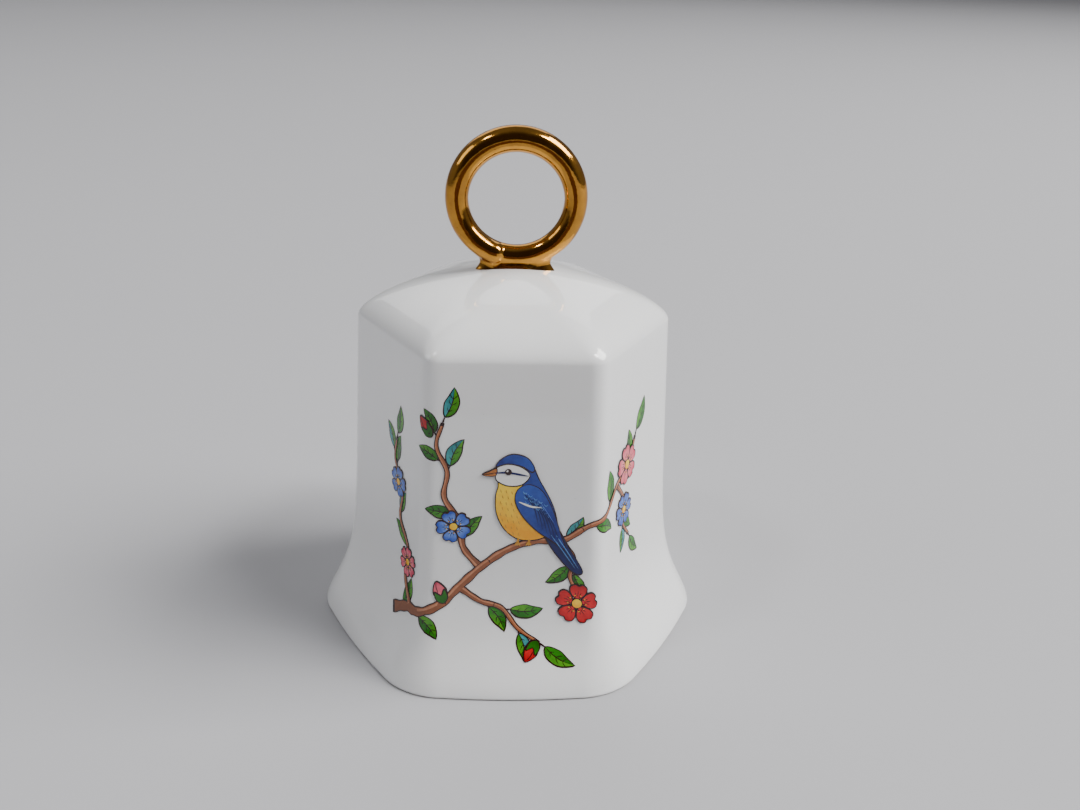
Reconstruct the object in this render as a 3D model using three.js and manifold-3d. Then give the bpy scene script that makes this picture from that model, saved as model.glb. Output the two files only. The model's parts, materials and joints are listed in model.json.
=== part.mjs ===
// A small six-sided porcelain hand bell. The shell stands on its rim and carries a gilded ring
// handle on its crown. Inside, a wire staple set in a plug of cement carries a short chain and a
// drop-shaped porcelain clapper on a pin.
//
// Millimetres, +Z up. The origin is the middle of the plane that the rim stands on, one flat side
// faces -Y, and the ring handle lies in the XZ plane.

import * as THREE from "three";
import { mergeVertices } from "three/addons/utils/BufferGeometryUtils.js";
import Module from "manifold-3d";

const wasm = await Module();
wasm.setup();

// ---- Driving dimensions --------------------------------------------------------------------

// Shell, outside. An apothem is the distance from the axis to the middle of a flat side.
const SHOULDER_HEIGHT = 57.4;
const CROWN_RISE = 9.2;
const SHOULDER_APOTHEM = 24.05;
const BODY_TAPER = 2.2; // how much the straight sides widen from the shoulder to the table
const RIM_FLARE = 6.05; // how much further the foot of the sides turns out
const FLARE_HEIGHT = 9;
const UPRIGHT_EDGE_RADIUS = 3.5;
const RIM_CORNER_RADIUS = 13;
const RIM_BOW = 0.5; // how far a side of the rim bulges past a straight line
const CROWN_CORNER_RADIUS = 8; // the crown is round inside this radius

// Shell, inside.
const WALL = 2.2;
const CROWN_THICKNESS = 3;
const INNER_EDGE_RADIUS = 3;
const RIM_EASE = 0.5;

// Ring handle, with the foot that joins it to the crown.
const RING_OUTER_DIAMETER = 24.05;
const RING_TUBE_DIAMETER = 3.95;
const RING_TOP_TUBE_DIAMETER = 4.45; // the tube is thicker at the top
const RING_SEATING = 0.3; // how far the ring is pressed into the top of the crown
const FOOT_WIDTH = 13.8;
const FOOT_DEPTH = 5; // across the ring's plane, at the crown
const FOOT_TOP_DEPTH = 2.4;
const FOOT_HEIGHT = 3;

// Clapper suspension.
const CEMENT_DIAMETER = 12;
const CEMENT_THICKNESS = 3.6;
const STAPLE_WIRE = 1.2;
const STAPLE_DROP = 3.4; // from the cement down to the middle of the wire's bend
const STAPLE_EMBEDDED = 2.4;
const LINK_COUNT = 3;
const LINK_WIRE = 1;
const LINK_PLAY = 0.3; // between a wire and the loop that hangs on it

// Clapper.
const CLAPPER_CLEARANCE = 12.5; // from the table up to the pin's head
const PIN_HEAD_DIAMETER = 3;
const PIN_HEAD_THICKNESS = 0.9;
const PIN_NECK = 0.8; // bare pin between the eye and the drop
const DROP_DIAMETER = 12;
const DROP_LENGTH = 16;
const DROP_TIP_DIAMETER = 3.6;

const JOINT_GAP = 0.3; // left between pieces that touch

// ---- Shape settings ------------------------------------------------------------------------

const SIDES = 6;
const HALF_SIDE_ANGLE = Math.PI / SIDES;
const STEPS_PER_HALF_SIDE = 5;
const EDGE_CROWDING = 1.6; // above 1, sections have more points near the upright edges
const FLARE_POWER = 1.5;
const CROWN_INNER_POWER = 1.6;
const CROWN_OUTER_POWER = 1 / 1.7;
const WALL_STEPS = 10;
const FOOT_CROWDING = 1.8; // above 1, the walls have more rows near the rim
const CROWN_STEPS = 8;
const DROP_NECK_ANGLE = Math.PI / 8; // how far above its middle the ball runs into its neck

// ---- Places worked out from the dimensions --------------------------------------------------

const CROWN_TOP = SHOULDER_HEIGHT + CROWN_RISE;
const INNER_SHOULDER_HEIGHT = SHOULDER_HEIGHT - (CROWN_THICKNESS - WALL);
const INNER_CROWN_TOP = CROWN_TOP - CROWN_THICKNESS;
const INNER_SHOULDER_APOTHEM = SHOULDER_APOTHEM - WALL;
const RING_OUTER_RADIUS = RING_OUTER_DIAMETER / 2;
const RING_TUBE_RADIUS = RING_TUBE_DIAMETER / 2;
const RING_TOP_TUBE_RADIUS = RING_TOP_TUBE_DIAMETER / 2;
const RING_CENTRE = CROWN_TOP - RING_SEATING + RING_OUTER_RADIUS;
const LINK_END_RADIUS = Math.max(STAPLE_WIRE, LINK_WIRE) / 2 + LINK_PLAY + LINK_WIRE / 2;
const CEMENT_BOTTOM = INNER_CROWN_TOP - JOINT_GAP - CEMENT_THICKNESS;
const CHAIN_TOP = CEMENT_BOTTOM - STAPLE_DROP;
const DROP_BOTTOM = CLAPPER_CLEARANCE + PIN_HEAD_THICKNESS + JOINT_GAP;
const DROP_TOP = DROP_BOTTOM + DROP_LENGTH;
const CHAIN_BOTTOM = DROP_TOP + PIN_NECK + LINK_WIRE / 2 + LINK_END_RADIUS;
const LINK_PITCH = (CHAIN_TOP - CHAIN_BOTTOM) / LINK_COUNT;

// ---- Solids and meshes ----------------------------------------------------------------------

function toSolid(geometry) {
  const plain = geometry.clone();
  plain.deleteAttribute("normal");
  plain.deleteAttribute("uv");
  const merged = mergeVertices(plain, 1e-4);
  return new wasm.Manifold(
    new wasm.Mesh({
      numProp: 3,
      vertProperties: merged.getAttribute("position").array,
      triVerts: new Uint32Array(merged.getIndex().array),
    }),
  );
}

function toGeometry(solid) {
  const mesh = solid.getMesh();
  const geometry = new THREE.BufferGeometry();
  geometry.setAttribute("position", new THREE.BufferAttribute(mesh.vertProperties, 3));
  geometry.setIndex(new THREE.BufferAttribute(mesh.triVerts, 1));
  geometry.computeVertexNormals();
  return geometry;
}

// A turned piece about the Z axis. The profile is a list of [radius, height].
function turned(profile, segments) {
  const points = profile.map(([radius, height]) => new THREE.Vector2(radius, height));
  return new THREE.LatheGeometry(points, segments).rotateX(Math.PI / 2);
}

const rounded = (radius, segments) => {
  const disc = new THREE.Shape().absarc(0, 0, radius, 0, 2 * Math.PI);
  return new THREE.Shape(disc.getSpacedPoints(segments).slice(0, segments));
};

// ---- Shell ----------------------------------------------------------------------------------

// 1 at the table, falling to 0 a little above FLARE_HEIGHT.
const flareAt = (height) => Math.exp(-((height / FLARE_HEIGHT) ** FLARE_POWER));

const wallApothem = (height) =>
  SHOULDER_APOTHEM +
  BODY_TAPER * (1 - height / SHOULDER_HEIGHT) +
  RIM_FLARE * flareAt(height);

// 0 at the shoulder, where the crown starts upright, and 1 in the middle of the crown.
const crownShare = (apothemShare) =>
  (1 - apothemShare ** CROWN_INNER_POWER) ** CROWN_OUTER_POWER;

const innerCrownHeight = (apothem) =>
  INNER_SHOULDER_HEIGHT +
  (INNER_CROWN_TOP - INNER_SHOULDER_HEIGHT) * crownShare(apothem / INNER_SHOULDER_APOTHEM);

// Distance from the axis to a rounded hexagon, at an angle from the middle of one of its sides.
function sectionRadius(angle, { apothem, corner, bow }) {
  const radius = Math.min(corner, apothem);
  const halfFlat = (apothem - radius) * Math.tan(HALF_SIDE_ANGLE);
  const across = apothem * Math.tan(Math.abs(angle));
  if (across < halfFlat) {
    return (apothem + bow * (1 - (across / halfFlat) ** 2)) / Math.cos(angle);
  }
  const along = (apothem - radius) * Math.cos(angle) + halfFlat * Math.sin(Math.abs(angle));
  const centreSquared = (apothem - radius) ** 2 + halfFlat ** 2;
  return along + Math.sqrt(Math.max(radius ** 2 - centreSquared + along ** 2, 0));
}

// Turns a list of sections, from one pole to the other, into a closed six-sided surface.
function sixSided(sections) {
  const segments = 2 * SIDES * STEPS_PER_HALF_SIDE;
  const profile = sections.map(({ apothem, height }) => new THREE.Vector2(apothem, height));
  const geometry = new THREE.LatheGeometry(profile, segments);
  const position = geometry.getAttribute("position");
  for (let step = 0; step <= segments; step += 1) {
    const place = (step % segments) / STEPS_PER_HALF_SIDE - 1;
    const side = Math.round(place / 2);
    const fromMiddle = place - 2 * side;
    const angle =
      Math.sign(fromMiddle) *
      HALF_SIDE_ANGLE *
      (1 - (1 - Math.abs(fromMiddle)) ** EDGE_CROWDING);
    const bearing = -Math.PI / 2 + 2 * side * HALF_SIDE_ANGLE + angle;
    sections.forEach((section, row) => {
      const radius = sectionRadius(angle, section);
      position.setXYZ(
        step * sections.length + row,
        radius * Math.cos(bearing),
        radius * Math.sin(bearing),
        section.height,
      );
    });
  }
  return geometry;
}

// Rows up a wall from the rim to the shoulder, closest together at the rim.
const wallHeights = (top) =>
  Array.from(
    { length: WALL_STEPS },
    (_, row) => RIM_EASE + (top - RIM_EASE) * (row / WALL_STEPS) ** FOOT_CROWDING,
  );

// Rows over a crown, as shares of the shoulder's apothem from 1 to 0.
const crownShares = Array.from(
  { length: CROWN_STEPS + 1 },
  (_, row) => 1 - (row / CROWN_STEPS) ** 2,
);

const outerSection = (height, inset = 0) => ({
  apothem: wallApothem(height) - inset,
  corner:
    UPRIGHT_EDGE_RADIUS +
    (RIM_CORNER_RADIUS - UPRIGHT_EDGE_RADIUS) * flareAt(height) -
    inset,
  bow: RIM_BOW * flareAt(height),
  height,
});

const innerSection = (height, inset = WALL) => ({
  ...outerSection(height, inset),
  corner:
    INNER_EDGE_RADIUS +
    (RIM_CORNER_RADIUS - WALL - INNER_EDGE_RADIUS) * flareAt(height),
});

const crownSection = (share, shoulderApothem, shoulderCorner, height) => ({
  apothem: share * shoulderApothem,
  corner: shoulderCorner + (CROWN_CORNER_RADIUS - shoulderCorner) * (1 - share ** 4),
  bow: 0,
  height,
});

const outerCrown = crownShares.map((share) =>
  crownSection(
    share,
    SHOULDER_APOTHEM,
    UPRIGHT_EDGE_RADIUS,
    SHOULDER_HEIGHT + CROWN_RISE * crownShare(share),
  ),
);

const innerCrown = crownShares.map((share) =>
  crownSection(
    share,
    INNER_SHOULDER_APOTHEM,
    INNER_EDGE_RADIUS,
    innerCrownHeight(share * INNER_SHOULDER_APOTHEM),
  ),
);

function bellBody() {
  const outerRim = { ...outerSection(0, RIM_EASE), height: 0 };
  const innerRim = { ...innerSection(0, WALL - RIM_EASE), height: 0 };
  return sixSided([
    ...innerCrown.toReversed(),
    ...wallHeights(INNER_SHOULDER_HEIGHT)
      .toReversed()
      .map((height) => innerSection(height)),
    innerRim,
    outerRim,
    ...wallHeights(SHOULDER_HEIGHT).map((height) => outerSection(height)),
    ...outerCrown,
  ]);
}

// ---- Ring handle ----------------------------------------------------------------------------

// Everything under the crown's outer surface, which trims the foot to the crown.
function crownBlock() {
  const base = { apothem: 0, corner: 0, bow: 0, height: SHOULDER_HEIGHT / 2 };
  const skirt = { ...outerCrown[0], height: SHOULDER_HEIGHT / 2 };
  return toSolid(sixSided([base, skirt, ...outerCrown]).translate(0, 0, JOINT_GAP));
}

// An upright oval block, narrowed towards the ring so that it runs into the sides of the tube.
function ringFoot() {
  const bottom = CROWN_TOP - CROWN_THICKNESS;
  const top = CROWN_TOP + FOOT_HEIGHT;
  const foot = turned([[0, bottom], [1, bottom], [1, CROWN_TOP], [1, top], [0, top]], 32);
  const position = foot.getAttribute("position");
  for (let i = 0; i < position.count; i += 1) {
    const depth = position.getZ(i) > CROWN_TOP ? FOOT_TOP_DEPTH : FOOT_DEPTH;
    position.setX(i, (position.getX(i) * FOOT_WIDTH) / 2);
    position.setY(i, (position.getY(i) * depth) / 2);
  }
  return foot;
}

// The tube thickens inwards from the middle of the ring up to its top.
function ringTube() {
  const middle = RING_OUTER_RADIUS - RING_TUBE_RADIUS;
  const ring = new THREE.TorusGeometry(middle, RING_TUBE_RADIUS, 12, 40).rotateX(Math.PI / 2);
  const position = ring.getAttribute("position");
  for (let i = 0; i < position.count; i += 1) {
    const [x, y, z] = [position.getX(i), position.getY(i), position.getZ(i)];
    const turn = Math.atan2(z, x);
    const off = (Math.hypot(x, z) - middle) / RING_TUBE_RADIUS;
    const thickening = (RING_TOP_TUBE_RADIUS - RING_TUBE_RADIUS) * Math.max(0, Math.sin(turn));
    const tubeRadius = RING_TUBE_RADIUS + thickening;
    const out = RING_OUTER_RADIUS - tubeRadius + off * tubeRadius;
    position.setXYZ(i, out * Math.cos(turn), (y * tubeRadius) / RING_TUBE_RADIUS, out * Math.sin(turn));
  }
  return ring.translate(0, 0, RING_CENTRE);
}

function ringHandle() {
  return toGeometry(toSolid(ringTube()).add(toSolid(ringFoot())).subtract(crownBlock()));
}

// ---- Clapper suspension ---------------------------------------------------------------------

// The middle line of a U of wire in the XZ plane, from one leg's end round to the other's.
class StapleLine extends THREE.Curve {
  constructor(legLength, bendRadius) {
    super();
    this.legLength = legLength;
    this.bendRadius = bendRadius;
  }

  getPoint(share) {
    const bendLength = Math.PI * this.bendRadius;
    const travelled = share * (2 * this.legLength + bendLength);
    if (travelled < this.legLength) {
      return new THREE.Vector3(-this.bendRadius, 0, this.legLength - travelled);
    }
    if (travelled > this.legLength + bendLength) {
      const up = travelled - this.legLength - bendLength;
      return new THREE.Vector3(this.bendRadius, 0, up);
    }
    const turn = Math.PI + (travelled - this.legLength) / this.bendRadius;
    return new THREE.Vector3(
      this.bendRadius * Math.cos(turn),
      0,
      this.bendRadius * Math.sin(turn),
    );
  }
}

function stapleGeometry(wireRadius, embedded) {
  const legLength = STAPLE_DROP - LINK_END_RADIUS + embedded;
  const section = rounded(wireRadius, 10);
  return new THREE.ExtrudeGeometry(section, {
    steps: 28,
    extrudePath: new StapleLine(legLength, LINK_END_RADIUS),
  }).translate(0, 0, CHAIN_TOP + LINK_END_RADIUS);
}

// The plug follows the inside of the crown and has the staple's legs in it.
function crownCement() {
  const radius = CEMENT_DIAMETER / 2;
  const topRows = 4;
  const top = Array.from({ length: topRows + 1 }, (_, row) => {
    const share = 1 - row / topRows;
    return [share * radius, innerCrownHeight(share * radius) - JOINT_GAP];
  });
  const plug = turned([[0, CEMENT_BOTTOM], [radius, CEMENT_BOTTOM], ...top], 28);
  const legs = stapleGeometry(STAPLE_WIRE / 2 + JOINT_GAP, STAPLE_EMBEDDED + JOINT_GAP);
  return toGeometry(toSolid(plug).subtract(toSolid(legs)));
}

// A closed loop of wire in the XZ plane, centred on the origin: a ring pulled apart into two halves
// with straight sides between them. Turning the ring by half a segment keeps its vertices off the
// line where the halves part, so each vertex belongs to one half.
function wireLoop(endRadius, straight) {
  const segments = 20;
  const loop = new THREE.TorusGeometry(endRadius, LINK_WIRE / 2, 8, segments)
    .rotateZ(Math.PI / segments)
    .rotateX(Math.PI / 2);
  const position = loop.getAttribute("position");
  for (let i = 0; i < position.count; i += 1) {
    const height = position.getZ(i);
    position.setZ(i, height + (Math.sign(height) * straight) / 2);
  }
  return loop;
}

// Each link hangs from the wire above it, turned a quarter turn from the one before.
function chainLink(number) {
  const straight = LINK_PITCH - LINK_END_RADIUS;
  const hangsFrom = CHAIN_TOP - (number - 1) * LINK_PITCH;
  return wireLoop(LINK_END_RADIUS, straight)
    .rotateZ(number % 2 === 1 ? Math.PI / 2 : 0)
    .translate(0, 0, hangsFrom - straight / 2);
}

// ---- Clapper --------------------------------------------------------------------------------

function clapperPin() {
  const eye = wireLoop(LINK_END_RADIUS, 0)
    .rotateZ(LINK_COUNT % 2 === 0 ? Math.PI / 2 : 0)
    .translate(0, 0, CHAIN_BOTTOM);
  const headRadius = PIN_HEAD_DIAMETER / 2;
  const stem = turned(
    [
      [0, CLAPPER_CLEARANCE],
      [headRadius - PIN_HEAD_THICKNESS / 2, CLAPPER_CLEARANCE],
      [headRadius, CLAPPER_CLEARANCE + PIN_HEAD_THICKNESS / 2],
      [headRadius, CLAPPER_CLEARANCE + PIN_HEAD_THICKNESS],
      [LINK_WIRE / 2, CLAPPER_CLEARANCE + PIN_HEAD_THICKNESS],
      [LINK_WIRE / 2, CHAIN_BOTTOM - LINK_END_RADIUS],
      [0, CHAIN_BOTTOM - LINK_END_RADIUS],
    ],
    16,
  );
  return toGeometry(toSolid(eye).add(toSolid(stem)));
}

// A ball cut flat below, drawn in to a narrow neck above, with a bore for the pin.
function clapperDrop() {
  const bore = LINK_WIRE / 2 + JOINT_GAP;
  const ball = DROP_DIAMETER / 2;
  const tip = DROP_TIP_DIAMETER / 2;
  const ballCentre = Math.sqrt(ball ** 2 - tip ** 2);
  const outline = new THREE.Path();
  outline.absarc(0, ballCentre, ball, -Math.acos(tip / ball), DROP_NECK_ANGLE, false);
  const start = outline.currentPoint.clone();
  const climb = (DROP_LENGTH - start.y) / 2;
  outline.bezierCurveTo(
    start.x - climb * Math.sin(DROP_NECK_ANGLE),
    start.y + climb * Math.cos(DROP_NECK_ANGLE),
    tip,
    DROP_LENGTH - climb,
    tip,
    DROP_LENGTH,
  );
  const skin = outline.getPoints(6).map(({ x, y }) => [x, y]);
  return turned([[bore, 0], ...skin, [bore, DROP_LENGTH], [bore, 0]], 28).translate(
    0,
    0,
    DROP_BOTTOM,
  );
}

// ---- Materials and assembly -----------------------------------------------------------------

const finish = (color, roughness, metalness = 0) =>
  new THREE.MeshStandardMaterial({ color, roughness, metalness });

const glazedPorcelain = finish(0xeeeeec, 0.12);
const gilding = finish(0xb5792a, 0.14, 1);
const cement = finish(0xd9d5cb, 0.9);
const brassWire = finish(0xb08d4a, 0.3, 1);

const bell = new THREE.Group();

function addPiece(name, geometry, material) {
  const piece = new THREE.Mesh(geometry, material);
  piece.name = name;
  bell.add(piece);
}

addPiece("bell_body", bellBody(), glazedPorcelain);
addPiece("ring_handle", ringHandle(), gilding);
addPiece("crown_cement", crownCement(), cement);
addPiece("hanger_staple", stapleGeometry(STAPLE_WIRE / 2, STAPLE_EMBEDDED), brassWire);
for (let number = 1; number <= LINK_COUNT; number += 1) {
  addPiece(`chain_link_${number}`, chainLink(number), brassWire);
}
addPiece("clapper_pin", clapperPin(), brassWire);
addPiece("clapper_drop", clapperDrop(), glazedPorcelain);

export default bell;
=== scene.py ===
"""Builds the looks of a small six-sided porcelain bell round its CAD frame: glazed shell, gilded ring
handle, cement, wire chain, clapper and the enamel painting, then the floor, lights and camera."""

import json
import math

import bmesh
import bpy
from bpy.props import FloatProperty, FloatVectorProperty, PointerProperty
from mathutils import Matrix, Vector


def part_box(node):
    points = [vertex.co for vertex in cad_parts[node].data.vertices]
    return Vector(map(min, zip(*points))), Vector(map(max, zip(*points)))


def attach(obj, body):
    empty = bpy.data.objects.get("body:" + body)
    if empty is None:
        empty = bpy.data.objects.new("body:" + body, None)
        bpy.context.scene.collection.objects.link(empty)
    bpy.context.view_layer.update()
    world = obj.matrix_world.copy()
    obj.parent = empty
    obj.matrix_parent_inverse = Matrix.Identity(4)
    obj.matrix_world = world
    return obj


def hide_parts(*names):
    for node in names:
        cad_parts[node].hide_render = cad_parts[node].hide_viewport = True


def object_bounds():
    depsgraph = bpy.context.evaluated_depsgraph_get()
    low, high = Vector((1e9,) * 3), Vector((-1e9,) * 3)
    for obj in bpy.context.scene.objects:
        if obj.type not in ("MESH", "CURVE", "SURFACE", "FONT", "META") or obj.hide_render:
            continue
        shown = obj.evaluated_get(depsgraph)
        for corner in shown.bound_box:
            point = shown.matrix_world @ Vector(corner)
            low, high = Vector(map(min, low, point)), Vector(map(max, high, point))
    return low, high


bl_info = {
    "name": "Porcelain Bell",
    "version": (1, 0, 0),
    "blender": (4, 5, 0),
    "location": "3D View > Sidebar > Bell",
    "description": "Builds a painted porcelain bell around its CAD frame",
    "category": "Object",
}

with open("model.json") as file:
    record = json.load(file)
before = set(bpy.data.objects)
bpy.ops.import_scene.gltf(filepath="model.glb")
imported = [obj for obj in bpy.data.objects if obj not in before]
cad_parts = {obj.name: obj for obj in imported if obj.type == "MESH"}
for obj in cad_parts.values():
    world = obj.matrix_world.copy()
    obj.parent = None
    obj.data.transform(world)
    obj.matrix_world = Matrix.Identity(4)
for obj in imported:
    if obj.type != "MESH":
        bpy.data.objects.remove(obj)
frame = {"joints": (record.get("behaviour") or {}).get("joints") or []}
CAD_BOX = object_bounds()

MM = 0.001
SIDES = 6
HALF_SIDE = math.pi / SIDES
FRONT_BEARING = -math.pi / 2
SHELL_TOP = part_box("bell_body")[1].z / MM
HINGES = {joint["name"]: Vector(joint["pos_m"]) / MM for joint in frame["joints"]}


# ---- Settings a user would change ------------------------------------------------------------


def number(name, description, default, **options):
    return FloatProperty(name=name, description=description, default=default, **options)


def size_mm(name, description, default):
    return number(name, description + ", in mm", default, min=0.0, precision=3)


def angle(name, description, degrees):
    return number(name, description, math.radians(degrees), unit="ROTATION")


def paint_colour(name, description, default):
    return FloatVectorProperty(
        name=name, description=description, default=default, size=3, min=0.0, max=1.0, subtype="COLOR"
    )


class BellShellSettings(bpy.types.PropertyGroup):
    shoulder_height: size_mm("Shoulder height", "Height of the straight sides", 57.4)
    shoulder_apothem: size_mm("Shoulder apothem", "Axis to a flat side at the shoulder", 24.05)
    taper: size_mm("Taper", "How much the sides widen down to the table", 2.2)
    flare: size_mm("Rim flare", "How much further the rim turns out", 6.05)
    flare_height: size_mm("Flare height", "Height over which the rim turns out", 9.0)
    edge_radius: size_mm("Edge radius", "Radius of the upright edges", 3.5)
    rim_corner_radius: size_mm("Rim corner radius", "Radius of the rim's corners in plan", 13.0)
    rim_bow: size_mm("Rim bow", "How far a side of the rim bulges", 0.5)
    crown_corner_radius: size_mm("Crown radius", "The crown is round inside this radius", 8.0)
    wall: size_mm("Wall", "Thickness of the sides", 2.2)
    crown_thickness: size_mm("Crown thickness", "Thickness of the crown", 3.0)
    inner_edge_radius: size_mm("Inner edge radius", "Radius of the edges inside", 3.0)
    glaze: paint_colour("Glaze", "Colour of the glazed china", (0.83, 0.835, 0.84))


class RingHandleSettings(bpy.types.PropertyGroup):
    tube_diameter: size_mm("Tube diameter", "Thickness of the ring", 3.95)
    top_diameter: size_mm("Top diameter", "Thickness of the ring at its top", 4.45)
    foot_width: size_mm("Foot width", "Width of the ring's foot", 13.8)
    foot_depth: size_mm("Foot depth", "Depth of the ring's foot at the crown", 5.0)
    foot_height: size_mm("Foot height", "Height of the foot up the ring's sides", 3.0)
    gold: paint_colour("Gold", "Colour of the gilding", (0.49, 0.225, 0.042))


class SuspensionSettings(bpy.types.PropertyGroup):
    staple_wire: size_mm("Staple wire", "Diameter of the staple's wire", 1.2)
    link_wire: size_mm("Link wire", "Diameter of the chain's wire", 1.0)
    play: size_mm("Play", "Slack between one wire and the next", 0.3)
    brass: paint_colour("Brass", "Colour of the wire", (0.62, 0.45, 0.19))
    cement: paint_colour("Cement", "Colour of the cement", (0.66, 0.63, 0.56))


class PaintingSettings(bpy.types.PropertyGroup):
    coat: size_mm("Coat", "Thickness of one coat of enamel", 0.012)
    line_width: size_mm("Line", "Width of a drawn outline", 0.2)
    blue: paint_colour("Blue", "The bird's back", (0.005, 0.015, 0.16))
    green: paint_colour("Green", "Leaves", (0.014, 0.16, 0.005))
    brown: paint_colour("Brown", "Branches", (0.34, 0.11, 0.045))
    red: paint_colour("Red", "The open blossom", (0.36, 0.003, 0.007))
    ink: paint_colour("Ink", "Outlines", (0.016, 0.003, 0.004))


class StageSettings(bpy.types.PropertyGroup):
    camera_distance: number("Distance", "Camera to the bell's axis", 0.1806, unit="LENGTH")
    camera_height: number("Height", "Camera above the table", 0.1175, unit="LENGTH")
    camera_bearing: angle("Bearing", "Camera round the bell", -91.16)
    camera_pan: angle("Pan", "Aim to the right of straight back", 2.76)
    camera_pitch: angle("Pitch", "Aim below level", 23.08)
    camera_roll: angle("Roll", "Turn about the line of sight", 1.8)
    lens: number("Lens", "Focal length in mm on a 36 mm sensor", 35.97)
    floor: paint_colour("Floor", "Colour of the table", (0.40, 0.40, 0.42))


# ---- Small tools -----------------------------------------------------------------------------


def start_clean():
    """Leaves nothing selected, so that an operator acts only on what comes next."""
    if bpy.context.object and bpy.context.object.mode != "OBJECT":
        bpy.ops.object.mode_set(mode="OBJECT")
    bpy.ops.object.select_all(action="DESELECT")


def activate(piece):
    start_clean()
    piece.select_set(True)
    bpy.context.view_layer.objects.active = piece


def added(name, primitive, **options):
    """A new piece from one of Blender's own shapes, with its place put into its mesh."""
    start_clean()
    primitive(**options)
    piece = bpy.context.object
    piece.name = piece.data.name = name
    piece.data.transform(piece.matrix_world)
    piece.matrix_world = Matrix.Identity(4)
    return piece


def linked(name, points, edges=(), faces=()):
    mesh = bpy.data.meshes.new(name)
    mesh.from_pydata(points, edges, faces)
    piece = bpy.data.objects.new(name, mesh)
    bpy.context.scene.collection.objects.link(piece)
    return piece


def torus(name, radius, tube, segments=(64, 24), height=0.0):
    """A ring in the XZ plane, its sizes in mm."""
    return added(
        name,
        bpy.ops.mesh.primitive_torus_add,
        major_segments=segments[0],
        minor_segments=segments[1],
        major_radius=radius * MM,
        minor_radius=tube * MM,
        location=(0, 0, height * MM),
        rotation=(math.pi / 2, 0, 0),
    )


def edit(piece, *steps):
    """Runs mesh operators on all of a piece, each given with its options."""
    activate(piece)
    bpy.ops.object.mode_set(mode="EDIT")
    bpy.ops.mesh.select_all(action="SELECT")
    for operator, options in steps:
        operator(**options)
    bpy.ops.object.mode_set(mode="OBJECT")


def clean_mesh(piece):
    """Merges doubles and turns the faces outwards."""
    merged = (bpy.ops.mesh.remove_doubles, {"threshold": 0.0005 * MM})
    edit(piece, merged, (bpy.ops.mesh.normals_make_consistent, {"inside": False}))


def bisect(piece, height=0.0, **options):
    """Cuts a piece level at a height."""
    edit(piece, (bpy.ops.mesh.bisect, {"plane_co": (0, 0, height), "plane_no": (0, 0, 1), **options}))


def drawn_up(piece, reach, steps=1):
    """Draws the open ends of a piece upwards in steps, and closes them."""
    bm = bmesh.new()
    bm.from_mesh(piece.data)
    rim = [edge for edge in bm.edges if edge.is_boundary]
    for _ in range(steps):
        grown = bmesh.ops.extrude_edge_only(bm, edges=rim)["geom"]
        rim = [item for item in grown if isinstance(item, bmesh.types.BMEdge)]
        tips = {vertex for edge in rim for vertex in edge.verts}
        bmesh.ops.translate(bm, verts=list(tips), vec=(0, 0, reach / steps))
    bmesh.ops.holes_fill(bm, edges=[edge for edge in bm.edges if edge.is_boundary])
    bm.to_mesh(piece.data)
    bm.free()


def apply_modifiers(piece):
    activate(piece)
    for modifier in list(piece.modifiers):
        bpy.ops.object.modifier_apply(modifier=modifier.name)


def smooth(piece, limit=50):
    activate(piece)
    bpy.ops.object.shade_smooth_by_angle(angle=math.radians(limit))


def round_smooth(piece):
    activate(piece)
    bpy.ops.object.shade_smooth()


def set_material(piece, *materials):
    piece.data.materials.clear()
    for material in materials:
        piece.data.materials.append(material)


def join(name, first, *others):
    activate(first)
    for piece in others:
        piece.select_set(True)
    bpy.ops.object.join()
    first.name = name
    return first


def turned(name, profile, steps=64):
    """Spins a profile of (radius, height) in mm once round the Z axis."""
    points = [(radius * MM, 0, height * MM) for radius, height in profile]
    piece = linked(name, points, [(i, i + 1) for i in range(len(points) - 1)])
    spin = {"steps": steps, "angle": 2 * math.pi, "center": (0, 0, 0), "axis": (0, 0, 1)}
    edit(piece, (bpy.ops.mesh.spin, spin))
    clean_mesh(piece)
    return piece


def arc(centre, radius, start, end, steps):
    """Points on an arc in a profile, the angles in degrees."""
    turns = [math.radians(start + (end - start) * i / steps) for i in range(steps + 1)]
    return [(centre[0] + radius * math.cos(turn), centre[1] + radius * math.sin(turn)) for turn in turns]


def heading(bearing, elevation=0.0):
    """The unit vector at a bearing and an elevation, both in radians."""
    level = math.cos(elevation)
    return Vector((math.cos(bearing) * level, math.sin(bearing) * level, math.sin(elevation)))


# ---- Materials -------------------------------------------------------------------------------


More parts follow.
